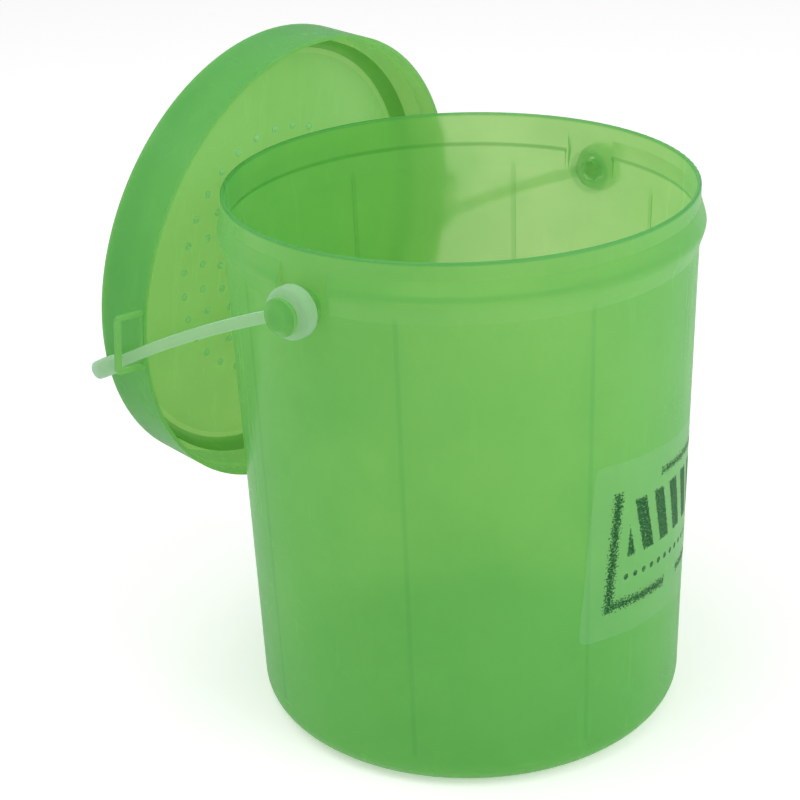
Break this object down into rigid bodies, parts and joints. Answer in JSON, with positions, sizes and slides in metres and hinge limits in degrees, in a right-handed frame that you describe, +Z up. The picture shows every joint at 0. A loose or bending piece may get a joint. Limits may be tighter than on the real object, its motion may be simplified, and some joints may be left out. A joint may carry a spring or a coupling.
{
  "type": "worm bucket",
  "caption": "Tapered translucent plastic pail with hollow trunnion studs, a flat strap bail on them and a round vented lid hung on edge on the bail by two slotted loops.",
  "frame": {"origin": "centre of the flat underside of the pail, on its axis", "axes": "+Z up along the pail's axis, +X along the trunnion axis of the bail, +Y towards the side where the bail and the lid hang at rest"},
  "size_m": [0.2224, 0.2241, 0.2753],
  "materials": {
    "green_plastic": "translucent green, softly glossy",
    "lid_plastic": "translucent green, softly glossy",
    "milky_plastic": "milky, slightly translucent",
    "label_film": "clear film with a dark green print"
  },
  "bodies": {
    "bucket_body": {"bucket": "green_plastic", "label": "label_film"},
    "bail_body": {"bail": "milky_plastic"},
    "lid_body": {"lid": "lid_plastic"}
  },
  "joints": [
    {"name": "bail_swing", "type": "hinge", "parent": "bucket_body", "child": "bail_body", "pos_m": [0, 0, 0.2047], "axis": [1, 0, 0], "range_deg": [0, 150]},
    {"name": "lid_slide", "type": "slide", "parent": "bail_body", "child": "lid_body", "axis": [0, 0.8829, -0.4695], "range_m": [-0.0015, 0.0012]}
  ]
}
